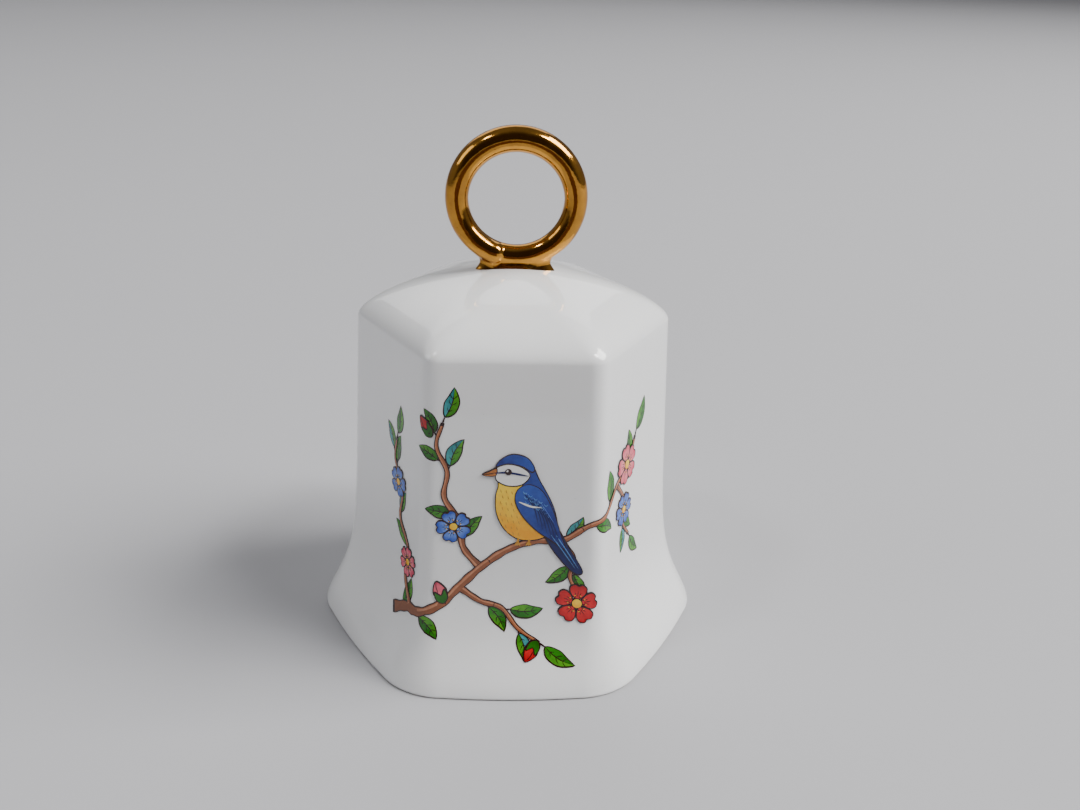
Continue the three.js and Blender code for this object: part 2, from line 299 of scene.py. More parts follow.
class Nodes:
    """A short way to write the node tree of a material, or of the world."""

    def __init__(self, name, world=None):
        self.material = world or bpy.data.materials.new(name)
        self.material.use_nodes = True
        self.tree = self.material.node_tree
        self.shader = self.tree.nodes["Background" if world else "Principled BSDF"]
        self.place = self.tree.nodes.new("ShaderNodeTexCoord").outputs["Object"]

    def set(self, **values):
        for key, value in values.items():
            self.shader.inputs[key.replace("_", " ")].default_value = value

    def link(self, source, socket):
        self.tree.links.new(source, self.shader.inputs[socket])

    def node(self, kind, inputs=None, **settings):
        node = self.tree.nodes.new(kind)
        for key, value in settings.items():
            setattr(node, key, value)
        for key, value in (inputs or {}).items():
            if isinstance(value, bpy.types.NodeSocket):
                self.tree.links.new(value, node.inputs[key])
            else:
                node.inputs[key].default_value = value
        return node

    def noise(self, per_metre, detail=2.0, roughness=0.5):
        """A noise from 0 to 1 with about per_metre waves in a metre."""
        inputs = {"Vector": self.place, "Scale": per_metre, "Detail": detail, "Roughness": roughness}
        return self.node("ShaderNodeTexNoise", inputs).outputs["Fac"]

    def ramp(self, value, low, high, start=0.0, end=1.0):
        inputs = {"Value": value, 1: low, 2: high, 3: start, 4: end}
        return self.node("ShaderNodeMapRange", inputs, clamp=True).outputs["Result"]

    def mix(self, share, first, second):
        """From the first colour to the second, as share goes from 0 to 1."""
        tones = [tone if isinstance(tone, bpy.types.NodeSocket) else (*tone, 1) for tone in (first, second)]
        return self.node("ShaderNodeMix", {0: share, 6: tones[0], 7: tones[1]}, data_type="RGBA").outputs[2]

    def height(self):
        """Height above the table, in metres."""
        return self.node("ShaderNodeSeparateXYZ", {"Vector": self.place}).outputs["Z"]

    def bump(self, height, depth, strength=1.0):
        inputs = {"Height": height, "Distance": depth, "Strength": strength}
        self.link(self.node("ShaderNodeBump", inputs).outputs["Normal"], "Normal")


def shade(colour, factor):
    return tuple(min(1.0, channel * factor) for channel in colour)


def glazed_china(name, colour):
    """White china under a clear glaze. The glaze pools a little, and is wiped off where china stands."""
    bare_below, glazed_above = 0.12 * MM, 0.4 * MM
    m = Nodes(name)
    cloud = m.noise(38, 3)
    body = m.mix(m.ramp(cloud, 0.35, 0.7), shade(colour, 0.965), colour)
    speck = m.ramp(m.noise(1900, 2, 0.6), 0.735, 0.76)
    body = m.mix(speck, body, shade(colour, 0.82))
    foot = m.ramp(m.height(), bare_below, glazed_above)
    m.link(m.mix(foot, (0.70, 0.67, 0.62), body), "Base Color")
    m.link(m.ramp(foot, 0, 1, 0.8, 0.3), "Roughness")
    m.link(foot, "Coat Weight")
    m.set(Coat_Roughness=0.02, Coat_IOR=1.5, Specular_IOR_Level=0.25)
    m.set(Subsurface_Weight=0.12, Subsurface_Scale=0.0012, Subsurface_Radius=(1.0, 0.9, 0.75))
    m.bump(m.noise(95, 2.5), 0.00012, 0.5)
    return m.material


def gold_lustre(name, colour):
    """Burnished gold over china: thicker and browner in places, with brush-laid streaks and rubbed spots."""
    m = Nodes(name)
    patch = m.noise(260, 3)
    streak = m.noise(900, 4, 0.65)
    tone = m.mix(m.ramp(patch, 0.35, 0.65), shade(colour, 0.74), colour)
    tone = m.mix(m.ramp(streak, 0.3, 0.75, 0, 0.55), tone, (0.62, 0.31, 0.04))
    pit = m.ramp(m.noise(2600, 2), 0.7, 0.76)
    m.link(m.mix(pit, tone, (0.16, 0.05, 0.006)), "Base Color")
    m.link(m.ramp(m.noise(420, 4, 0.6), 0.3, 0.75, 0.06, 0.17), "Roughness")
    m.set(Metallic=1.0)
    m.bump(m.noise(520, 4, 0.55), 0.00007, 0.55)
    return m.material


def drawn_brass(name, colour):
    m = Nodes(name)
    tarnish = m.ramp(m.noise(700, 4, 0.6), 0.42, 0.68)
    m.link(m.mix(tarnish, colour, (0.24, 0.15, 0.07)), "Base Color")
    m.link(m.ramp(m.noise(1600, 3), 0.3, 0.7, 0.24, 0.45), "Roughness")
    m.set(Metallic=1.0)
    m.bump(m.noise(2400, 2), 0.00002, 0.5)
    return m.material


def rough_cement(name, colour):
    m = Nodes(name)
    m.link(m.mix(m.ramp(m.noise(420, 5), 0.3, 0.7), shade(colour, 0.8), colour), "Base Color")
    m.set(Roughness=0.92)
    m.bump(m.noise(1500, 6, 0.7), 0.0003, 0.8)
    return m.material


def enamel(name, deep, pale):
    """Fired enamel. It runs from its deep to its pale tone with the wash laid on each shape."""
    m = Nodes(name)
    wash = m.node("ShaderNodeAttribute", attribute_name="wash", attribute_type="GEOMETRY").outputs["Fac"]
    brush = m.ramp(m.noise(850, 4, 0.62), 0.3, 0.72, -0.28, 0.28)
    share = m.node("ShaderNodeMath", {0: wash, 1: brush}, operation="ADD", use_clamp=True)
    m.link(m.mix(share.outputs["Value"], deep, pale), "Base Color")
    m.set(Roughness=0.12, IOR=1.5)
    m.bump(m.noise(1400, 3), 0.00003, 0.4)
    return m.material


# ---- The porcelain shell ---------------------------------------------------------------------
# A section is (apothem, corner radius, bow of the sides, height): a rounded hexagon lying level.


def wall_apothem(height, shell):
    widening = shell.taper * (1 - height / shell.shoulder_height)
    return shell.shoulder_apothem + widening + shell.flare * flare_at(height, shell)


def flare_at(height, shell):
    return math.exp(-((max(height, 0) / shell.flare_height) ** 1.5))


def section_radius(angle, apothem, corner, bow=0.0):
    """Axis to a rounded hexagon, at an angle from the middle of one of its sides."""
    corner = min(corner, apothem)
    half_flat = (apothem - corner) * math.tan(HALF_SIDE)
    across = apothem * math.tan(abs(angle))
    if across < half_flat:
        return (apothem + bow * (1 - (across / half_flat) ** 2)) / math.cos(angle)
    along = (apothem - corner) * math.cos(angle) + half_flat * math.sin(abs(angle))
    centre_squared = (apothem - corner) ** 2 + half_flat**2
    return along + math.sqrt(max(corner**2 - centre_squared + along**2, 0))


def outer_section(height, shell, inset=0.0):
    flare = flare_at(height, shell)
    corner = shell.edge_radius + (shell.rim_corner_radius - shell.edge_radius) * flare
    return (wall_apothem(height, shell) - inset, corner - inset, shell.rim_bow * flare, height)


def inner_section(height, shell, inset):
    flare = flare_at(height, shell)
    rim_corner = shell.rim_corner_radius - shell.wall
    corner = shell.inner_edge_radius + (rim_corner - shell.inner_edge_radius) * flare
    return (wall_apothem(height, shell) - inset, corner, shell.rim_bow * flare, height)


def crown_sections(apothem, corner, low, high, shell):
    """Sections of a crown, from its shoulder to its middle."""
    rows = 30
    sections = []
    for row in range(rows + 1):
        share = 1 - (row / rows) ** 2
        rise = (1 - share**1.6) ** (1 / 1.7)
        softened = corner + (shell.crown_corner_radius - corner) * (1 - share**4)
        sections.append((share * apothem, softened, 0.0, low + (high - low) * rise))
    return sections


def shell_sections(shell):
    """Sections from the middle of the crown inside, down, round the rim, and up to the crown outside."""
    rows, ease = 64, 0.55
    thicker = shell.crown_thickness - shell.wall
    inner_shoulder = shell.shoulder_height - thicker
    inner = (shell.shoulder_apothem - shell.wall, shell.inner_edge_radius)
    inner_crown = crown_sections(*inner, inner_shoulder, SHELL_TOP - shell.crown_thickness, shell)
    outer = (shell.shoulder_apothem, shell.edge_radius)
    outer_crown = crown_sections(*outer, shell.shoulder_height, SHELL_TOP, shell)
    climb = [(row / rows) ** 1.5 for row in range(rows)]
    inner_wall = [
        inner_section(ease + (inner_shoulder - ease) * step, shell, shell.wall) for step in climb
    ]
    outer_wall = [outer_section(ease + (shell.shoulder_height - ease) * step, shell) for step in climb]
    eased = [math.radians(step * 15) for step in range(1, 7)]
    rim = [(ease * (1 - math.sin(turn)), ease * (1 - math.cos(turn))) for turn in eased]
    inner_rim = [inner_section(height, shell, shell.wall - inset) for height, inset in rim]
    outer_rim = [outer_section(height, shell, inset) for height, inset in rim]
    return inner_crown[::-1] + inner_wall[::-1] + inner_rim + outer_rim[::-1] + outer_wall + outer_crown


def edge_crowded(share, steepness=1.5):
    """Turns an even step round the hexagon into one with more points near the upright edges."""
    place = share * 2 * SIDES - 1
    side = round(place / 2)
    off = place - 2 * side
    return side, math.copysign(HALF_SIDE * (1 - (1 - abs(off)) ** steepness), off)


def on_section(section, side, angle, lift=0.0):
    """A point on a section, at an angle from the middle of one of its sides."""
    apothem, corner, bow, height = section
    radius = section_radius(angle, apothem, corner, bow) + lift
    bearing = FRONT_BEARING + 2 * side * HALF_SIDE + angle
    return Vector((radius * math.cos(bearing), radius * math.sin(bearing), height)) * MM


def make_shell(shell):
    sections = shell_sections(shell)
    rows, columns = len(sections) - 1, 2 * SIDES * 18
    grid = {"x_subdivisions": columns, "y_subdivisions": rows, "size": 1}
    piece = added("porcelain_shell", bpy.ops.mesh.primitive_grid_add, **grid)
    for vertex in piece.data.vertices:
        section = sections[round((vertex.co.y + 0.5) * rows)]
        vertex.co = on_section(section, *edge_crowded(vertex.co.x + 0.5))
    clean_mesh(piece)
    smooth(piece)
    return piece


# ---- The gilded ring handle ------------------------------------------------------------------


def ring_foot(handle):
    """An oval block that runs from the crown into the sides of the ring."""
    foot = added("foot", bpy.ops.mesh.primitive_cylinder_add, vertices=72, radius=1, depth=1)
    bottom, waist, top = -0.5, 0.1, 0.5
    bisect(foot, waist)
    width, depth = handle.foot_width / 2, handle.foot_depth / 2
    levels = {
        bottom: (SHELL_TOP - 1.6, width + 0.65, depth - 0.35),
        waist: (SHELL_TOP + 0.6, width - 0.85, depth - 0.6),
        top: (SHELL_TOP + handle.foot_height, width + 0.3, 1.2),
    }
    for vertex in foot.data.vertices:
        height, half_width, half_depth = levels[min(levels, key=lambda level: abs(level - vertex.co.z))]
        vertex.co = Vector((vertex.co.x * half_width, vertex.co.y * half_depth, height)) * MM
    return foot


def strand_end(handle, centre, radius):
    """The end of the rolled strand, which laps over the front of the ring at its lower left."""
    lapped_from, sweep, steps = math.radians(-111), math.radians(78), 40
    taper, lap = 0.13, 0.62 * MM
    tube, radius, centre = handle.tube_diameter / 2 * MM, radius * MM, centre * MM
    ball = {"segments": 40, "ring_count": 20, "radius": tube}
    end = added("strand_end", bpy.ops.mesh.primitive_uv_sphere_add, **ball)
    bisect(end, clear_outer=True)
    drawn_up(end, radius * sweep, steps)
    for vertex in end.data.vertices:
        along = min(max(vertex.co.z / (radius * sweep), 0), 1)
        swell = 1 - taper * along
        turn = lapped_from - vertex.co.z / radius
        out = radius + vertex.co.x * swell
        aside = vertex.co.y * swell - lap * (1 - along) ** 1.4
        vertex.co = (out * math.cos(turn), aside, out * math.sin(turn) + centre)
    clean_mesh(end)
    return end


def make_ring(handle):
    low, high = (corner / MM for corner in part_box("ring_handle"))
    outer = (high.x - low.x) / 2
    tube = handle.tube_diameter / 2
    centre = high.z - outer
    ring = torus("gilded_ring", outer - tube, tube, (200, 56), centre)
    for vertex in ring.data.vertices:
        turn = math.atan2(vertex.co.z / MM - centre, vertex.co.x / MM)
        radius = math.hypot(vertex.co.x / MM, vertex.co.z / MM - centre)
        stout = 1 + (handle.top_diameter / handle.tube_diameter - 1) * max(0, math.sin(turn))
        out = outer + (radius - outer) * stout
        aside = vertex.co.y / MM * stout
        vertex.co = Vector((out * math.cos(turn), aside, centre + out * math.sin(turn))) * MM
    piece = join("gilded_ring", ring, ring_foot(handle), strand_end(handle, centre, outer - tube))
    remesh = piece.modifiers.new("Knit", "REMESH")
    remesh.mode = "VOXEL"
    remesh.voxel_size = 0.13 * MM
    apply_modifiers(piece)
    soften_foot(piece)
    round_smooth(piece)
    return piece


def soften_foot(piece, reach=3.4, clear=3.0):
    """Rounds the line where the ring grows out of its foot, then the whole piece a little."""
    group = piece.vertex_groups.new(name="foot")
    for vertex in piece.data.vertices:
        height = vertex.co.z / MM - SHELL_TOP
        share = min(1, max(0, reach - height)) * min(1, max(0, abs(vertex.co.x) / MM - clear))
        if share:
            group.add([vertex.index], share, "REPLACE")
    for name, where, rounds in (("Fillet", group.name, 110), ("Relax", "", 16)):
        relax = piece.modifiers.new(name, "SMOOTH")
        relax.iterations = rounds
        relax.factor = 0.5
        relax.vertex_group = where
    apply_modifiers(piece)
    piece.vertex_groups.clear()


# ---- The clapper and what it hangs on --------------------------------------------------------


def link_end_radius(suspension):
    """Radius of a link's rounded end, so that wires cross with a little play."""
    stoutest = max(suspension.staple_wire, suspension.link_wire)
    return stoutest / 2 + suspension.play + suspension.link_wire / 2


def weld_seam(loop, wire, height):
    """A soft swelling where the ends of the wire were soldered."""
    for vertex in loop.data.vertices:
        off = (vertex.co.z - height * MM) / (0.45 * wire * MM)
        side = vertex.co.x if abs(vertex.co.x) > abs(vertex.co.y) else vertex.co.y
        if side > 0 and abs(off) < 3:
            axis = Vector((vertex.co.x, vertex.co.y, 0))
            vertex.co += axis.normalized() * (0.07 * wire * math.exp(-off * off)) * MM


def make_link(number, suspension, top, pitch, across):
    """A closed loop of wire: a ring whose upper half is drawn upwards."""
    wire, end_radius = suspension.link_wire, link_end_radius(suspension)
    straight = pitch - end_radius
    link = torus(f"wire_link_{number}", end_radius, wire / 2)
    for vertex in link.data.vertices:
        if vertex.co.z > 1e-7:
            vertex.co.z += straight * MM
    if across:
        link.data.transform(Matrix.Rotation(math.pi / 2, 4, "Z"))
    rows = link.modifiers.new("Rows", "SUBSURF")
    rows.levels = rows.render_levels = 1
    apply_modifiers(link)
    link.data.transform(Matrix.Translation((0, 0, (top - straight) * MM)))
    weld_seam(link, wire, top - straight / 2)
    round_smooth(link)
    return link


def make_staple(suspension, bend):
    """A U of wire: a ring with its upper half taken off and its two ends drawn up into the cement."""
    end_radius = link_end_radius(suspension)
    staple = torus("wire_staple", end_radius, suspension.staple_wire / 2)
    bisect(staple, clear_outer=True)
    lowest = bend + end_radius
    drawn_up(staple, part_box("hanger_staple")[1].z - lowest * MM)
    staple.data.transform(Matrix.Translation((0, 0, lowest * MM)))
    clean_mesh(staple)
    smooth(staple)
    return staple


def make_cement():
    """A plug smoothed by hand, with a meniscus up the wire's legs and a thin edge feathered on the crown."""
    low, high = (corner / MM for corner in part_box("crown_cement"))
    radius, edge, dip = high.x, 0.9, 0.35
    profile = [(0, low.z + dip)]
    for share in (step / 12 for step in range(1, 11)):
        profile.append((radius * share, low.z + dip * share**2 - 0.1 * math.sin(share * 9)))
    profile += arc((radius - edge, low.z + dip + edge), edge, -60, 20, 8)
    profile += [(radius - 0.02, high.z - 0.6), (radius * 0.6, high.z - 0.2), (0, high.z)]
    piece = turned("crown_plug", profile, 72)
    for vertex in piece.data.vertices:
        bearing = math.atan2(vertex.co.y, vertex.co.x)
        vertex.co.x *= 1 - 0.014 * (1 + math.sin(3 * bearing + 0.6))
        vertex.co.y *= 1 - 0.014 * (1 + math.sin(5 * bearing + 1.9))
    smooth(piece)
    return piece


def make_pin(suspension, eye_height):
    """A straight wire with an eye bent at its top and a flat head below."""
    low, high = (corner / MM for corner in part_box("clapper_pin"))
    wire, end_radius, thick = suspension.link_wire / 2, link_end_radius(suspension), 0.9
    eye = torus("eye", end_radius, wire)
    eye.data.transform(Matrix.Translation((0, 0, eye_height * MM)))
    joint = eye_height - end_radius
    profile = [(0, low.z), (high.y * 0.55, low.z)]
    profile += arc((high.y - thick / 2, low.z + thick / 2), thick / 2, -70, 70, 8)
    profile += [(high.y * 0.6, low.z + thick), (wire, low.z + thick)]
    profile += [(wire, joint - 0.1), (wire * 0.4, joint + 0.1), (0, joint + 0.15)]
    pin = join("clapper_eye_pin", eye, turned("stem", profile, 40))
    smooth(pin, 45)
    return pin


def make_drop(suspension):
    """A drop of glazed china: a ball cut flat below, drawn in to a neck with a rounded lip at the bore."""
    low, high = (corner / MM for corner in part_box("clapper_drop"))
    ball, tip, lip, leaves_at = high.x, 1.8, 0.5, 22.5
    bore = suspension.link_wire / 2 + 0.1
    centre = low.z + math.sqrt(ball**2 - tip**2)
    lowest = -math.degrees(math.acos(tip / ball))
    profile = [(bore, low.z + 0.4), (bore + 0.3, low.z + 0.04)]
    profile += arc((0, centre), ball, lowest, leaves_at, 48)
    start = Vector(profile[-1])
    climb = (high.z - start.y) / 2
    leaning = math.radians(leaves_at)
    bend = Vector((start.x - climb * math.sin(leaning), start.y + climb * math.cos(leaning)))
    neck, top = Vector((tip, high.z - climb)), Vector((tip, high.z - lip))
    for t in (step / 24 for step in range(1, 25)):
        first = start * (1 - t) ** 3 + bend * 3 * t * (1 - t) ** 2
        profile.append(tuple(first + neck * 3 * t * t * (1 - t) + top * t**3))
    profile += arc((tip - lip, high.z - lip), lip, 10, 90, 6)
    profile += [(bore, high.z - 0.15), (bore, low.z + 0.4)]
    piece = turned("china_drop", profile, 96)
    smooth(piece)
    return piece


# ---- Painting --------------------------------------------------------------------------------
# The painting is laid out flat, as points (round, height) in mm: round runs along the sides from the
# middle of the front, and height is above the table. Each shape is a thin closed patch of enamel.


def P(x, y):
    return Vector((x, y))


def curve(points, closed=False, steps=7):
    """A smooth line through the points."""
    points = [Vector(point) for point in points]
    count = len(points)
    line = []
    for i in range(count if closed else count - 1):
        if closed:
            a, b, c, d = (points[(i + k) % count] for k in (-1, 0, 1, 2))
        else:
            b, c = points[i], points[i + 1]
            a = points[i - 1] if i else b * 2 - c
            d = points[i + 2] if i + 2 < count else c * 2 - b
        for t in (step / steps for step in range(steps)):
            bent = (2 * a - 5 * b + 4 * c - d) * t**2 + (3 * b - a - 3 * c + d) * t**3
            line.append(0.5 * (2 * b + (c - a) * t + bent))
    return line if closed else line + [points[-1]]


def across(line, index):
    """The direction to the left of a line at one of its points."""
    before, after = line[max(index - 1, 0)], line[min(index + 1, len(line) - 1)]
    along = after - before
    return P(-along.y, along.x).normalized() if along.length > 1e-9 else P(0, 1)


def polar(distance, degrees):
    turn = math.radians(degrees)
    return P(distance * math.cos(turn), distance * math.sin(turn))


def inside(point, outline):
    """Whether a flat point is inside a closed line."""
    hit = False
    for i, a in enumerate(outline):
        b = outline[i - 1]
        if (a.y > point.y) != (b.y > point.y):
            hit ^= point.x < (b.x - a.x) * (point.y - a.y) / (b.y - a.y) + a.x
    return hit


class Painting:
    """Collects patches of enamel and wraps them onto the shell as one mesh."""

    CUT = 0.8
    SUNK = -0.02

    def __init__(self, name, shell, settings, paints):
        self.name, self.shell, self.settings, self.paints = name, shell, settings, paints
        self.used, self.points, self.washes, self.faces, self.indices = [], [], [], [], []
        self.reference = wall_apothem(35, shell)
        self.side_width = 2 * self.reference * math.tan(HALF_SIDE)

    def wrap(self, point, lift):
        """A flat point's place on the shell, lifted off the glaze."""
        side = round(point.x / self.side_width)
        angle = math.atan((point.x - side * self.side_width) / self.reference)
        return on_section(outer_section(point.y, self.shell), side, angle, lift)

    def patch(self, points, faces, paint, coats, wash):
        """Adds one closed patch: its top, its underside a little below the glaze, and its edge.

        The wash is one tone, or two points between which the tone runs from deep to pale."""
        if paint not in self.used:
            self.used.append(paint)
        first, count = len(self.points), len(points)
        for lift in (coats * self.settings.coat, self.SUNK):
            self.points += [self.wrap(point, lift) for point in points]
        if isinstance(wash, float):
            tones = [wash] * count
        else:
            start, run = wash[0], wash[1] - wash[0]
            tones = [min(1, max(0, (point - start).dot(run) / run.length_squared)) for point in points]
        self.washes += tones * 2
        border = {}
        for face in faces:
            for edge in zip(face, face[1:] + face[:1]):
                if border.pop(edge[::-1], None) is None:
                    border[edge] = True
        made = [tuple(first + v for v in face) for face in faces]
        made += [tuple(first + count + v for v in reversed(face)) for face in faces]
        made += [(first + b, first + a, first + count + a, first + count + b) for a, b in border]
        self.faces += made
        self.indices += [self.used.index(paint)] * len(made)

    def fill(self, outline, paint, coats, wash=0.5):
        """A flat shape inside an outline, cut on a grid so that it can follow the shell."""
        bm = bmesh.new()
        bm.faces.new([bm.verts.new((*point, 0)) for point in outline])
        bmesh.ops.recalc_face_normals(bm, faces=bm.faces)
        if bm.faces[:][0].normal.z < 0:
            bmesh.ops.reverse_faces(bm, faces=bm.faces)
        for axis, normal in enumerate((Vector((1, 0, 0)), Vector((0, 1, 0)))):
            low, high = (pick(point[axis] for point in outline) / self.CUT for pick in (min, max))
            for line in range(math.ceil(low), math.floor(high) + 1):
                cut = {"plane_co": normal * line * self.CUT, "plane_no": normal, "dist": 1e-5}
                bmesh.ops.bisect_plane(bm, geom=bm.verts[:] + bm.edges[:] + bm.faces[:], **cut)
        bmesh.ops.triangulate(bm, faces=bm.faces)
        bm.verts.index_update()
        points = [P(*vertex.co.xy) for vertex in bm.verts]
        faces = [tuple(vertex.index for vertex in face.verts) for face in bm.faces]
        bm.free()
        self.patch(points, faces, paint, coats, wash)

    def ribbon(self, line, widths, paint, coats, wash=0.5):
        """A stroke along a line, with a width at each point."""
        left, right = (
            [p + across(line, i) * widths[i] / 2 * side for i, p in enumerate(line)] for side in (1, -1)
        )
        count = len(line)
        faces = [(i, count + i, count + i + 1, i + 1) for i in range(count - 1)]
        self.patch(left + right, faces, paint, coats, wash)

    def stroke(self, points, coats, width=1.0, paint="ink", start=0.35, end=0.15, steps=6):
        """A brush stroke: thin where the brush lands and lifts, full between."""
        line = curve(points, steps=steps)
        full = width * self.settings.line_width
        last = len(line) - 1
        widths = []
        for i in range(last + 1):
            landing = start + (1 - start) * min(1, 4 * i / last)
            lifting = end + (1 - end) * min(1, 3 * (last - i) / last)
            widths.append(full * landing * lifting)
        self.ribbon(line, widths, paint, coats)

    def outline(self, line, coats, width=1.0):
        """A drawn line round a shape, a little heavier on its lower side."""
        closed = [*line, line[0], line[1]]
        full = width * self.settings.line_width
        widths = [full * (0.95 - 0.3 * across(closed, i).y) for i in range(len(closed))]
        self.ribbon(closed, widths, "ink", coats)

    def shape(self, points, paint, coats, wash=0.5, line=1.0):
        """A smooth filled shape with an outline."""
        edge = curve(points, closed=True)
        self.fill(edge, paint, coats, wash)
        if line:
            self.outline(edge, coats + 0.6, line)

    def make(self):
        piece = linked(self.name, self.points, faces=self.faces)
        wash = piece.data.attributes.new("wash", "FLOAT", "POINT")
        wash.data.foreach_set("value", self.washes)
        set_material(piece, *(self.paints[paint] for paint in self.used))
        piece.data.polygons.foreach_set("material_index", self.indices)
        outwards = (bpy.ops.mesh.normals_make_consistent, {"inside": False})
        edit(piece, outwards, (bpy.ops.mesh.quads_convert_to_tris, {}))
        smooth(piece, 35)
        return piece


# ---- What is painted -------------------------------------------------------------------------


def leaf(painting, base, tip, width, bend, pale, deep, coats=2):
    """A pointed leaf in two tones, with a rib and veins."""
    steps = 14
    along = tip - base
    aside = P(-along.y, along.x) * bend * 4
    rib = [base + along * t + aside * (t * (1 - t)) for t in (i / steps for i in range(steps + 1))]
    left, right = [], []
    for edge, sign in ((left, 1), (right, -1)):
        for i in range(1, steps):
            t = i / steps
            swell = math.sin(math.pi * t**0.8) ** 0.9 * (1 + 0.03 * math.sin(14 * t + sign))
            edge.append(rib[i] + across(rib, i) * (sign * width / 2 * swell))
    edge = [base, *left, tip, *right[::-1]]
    painting.fill(edge, pale, coats, (base, tip))
    painting.fill([base, *left, tip, *rib[-2:0:-1]], deep, coats + 0.5, (tip, base))
    painting.outline(edge, coats + 1)
    painting.stroke(rib[::4], coats + 1, 0.8)
    for at in (3, 6, 9):
        forward = (rib[at + 2] - rib[at]).normalized()
        reach = width * 0.3 * math.sin(math.pi * at / steps)
        for sign in (1, -1):
            out = P(-forward.y, forward.x) * sign * reach
            ahead = forward * reach
            veins = [rib[at], rib[at] + ahead * 0.5 + out * 0.6, rib[at] + ahead * 1.2 + out]
            painting.stroke(veins, coats + 1, 0.55, steps=4)


def stem(painting, points, width, end_width, knots):
    """A woody stem: brown between two dark lines, with a light side and a few knots."""
    coats, widths = 10, []
    line = curve(points, steps=8)
    last = len(line) - 1
    for i in range(last + 1):
        wobble = 1 + 0.09 * math.sin(1.3 * i) + 0.06 * math.sin(0.57 * i + 1)
        widths.append((width + (end_width - width) * i / last) * wobble)
    painting.ribbon(line, [w + 0.2 for w in widths], "ink", coats)
    wood = [w - 0.12 for w in widths[1:-1]]
    painting.ribbon(line[1:-1], wood, "brown", coats + 0.6, (line[0], line[-1]))
    light = [p + across(line, i) * widths[i] * 0.2 for i, p in enumerate(line)][1:-1]
    painting.ribbon(light, [w * 0.28 for w in widths[1:-1]], "pale_brown", coats + 0.9)
    for at in (round(knot * last) for knot in knots):
        side = across(line, at) * widths[at] * 0.4
        painting.stroke([line[at] - side, line[at] + P(0.1, 0.16), line[at] + side], coats + 1.2, 0.7)
    return line


def twig(painting, points, width, end_width, leaves, knots=()):
    """A stem with leaves on it, each given as (share of the way along, side, length)."""
    line = stem(painting, points, width, end_width, knots)
    for number, (share, side, length) in enumerate(leaves):
        at = round(share * (len(line) - 1))
        left = across(line, at)
        heading = (P(left.y, -left.x) + left * side * (0.9 + 0.25 * math.sin(2.1 * number))).normalized()
        neck = line[at] + heading * (0.5 + 0.1 * length)
        painting.stroke([line[at], line[at] + heading * 0.3, neck], 9, 1.25, start=0.8, end=0.6)
        tones = (("green", "deep_green"), ("deep_green", "green"), ("green", "teal"))[number % 3]
        leaf(painting, neck, neck + heading * length, length * 0.46, -0.09 * (side or 1), *tones)


# Half a petal from the heart to its notched tip, as (share of the radius, share of its half angle).
PETAL = ((0.2, 0), (0.58, 0.95), (0.9, 0.72), (0.99, 0.3), (0.9, 0))


def blossom(painting, centre, radius, petals, paint, turn=0.0, coats=13):
    """An open flower with notched petals and a ring of stamens round its heart."""

    def at(distance, degrees):
        return P(*centre) + polar(distance, degrees) * radius

    half = 180 / petals
    outline = [(out, -share) for out, share in PETAL] + list(PETAL[3:0:-1])
    for number in range(petals):
        middle = turn + 2 * half * number
        petal = [at(distance, middle + share * half) for distance, share in outline]
        painting.shape(petal, paint, coats + 0.3 * (number % 2), (at(0.95, middle), at(0.3, middle)))
        for lean in (-0.4, 0, 0.4):
            vein = [at(0.34, middle + lean * half * 0.7), at(0.66 - abs(lean) * 0.2, middle + lean * half)]
            painting.stroke(vein, coats + 1.3, 0.55)
    disc = [at(0.24, step * 30) for step in range(12)]
    painting.shape(disc, "yellow", coats + 2, (at(0.24, 220), at(0.24, 40)), line=0.7)
    for step in range(2 * petals):
        angle = turn + half * (step + 0.5)
        painting.stroke([at(0.28, angle), at(0.4, angle)], coats + 2.4, 0.5)
        painting.stroke([at(0.4, angle), at(0.43, angle)], coats + 3, 1.2, "yellow", start=1, end=1)


def bud(painting, base, tip, width, paint):
    """A closed flower in its cup, at the end of a twig."""
    base, tip, coats = P(*base), P(*tip), 11
    along = tip - base
    out = P(-along.y, along.x).normalized() * width / 2

    def outline(*points):
        return [base + along * share + out * side for share, side in points]

    petals = outline((0.1, 0), (0.4, -0.95), (0.75, -0.7), (1, 0), (0.75, 0.7), (0.4, 0.95))
    painting.shape(petals, paint, coats, (tip, base))
    painting.stroke(outline((0.4, 0.3), (0.75, 0.25), (0.97, 0)), coats + 1, 0.6)
    cup = outline((-0.08, 0), (0.15, -0.85), (0.55, -0.75), (0.32, 0), (0.55, 0.75), (0.15, 0.85))
    painting.shape(cup, "deep_green", coats + 1.5, (base, tip))


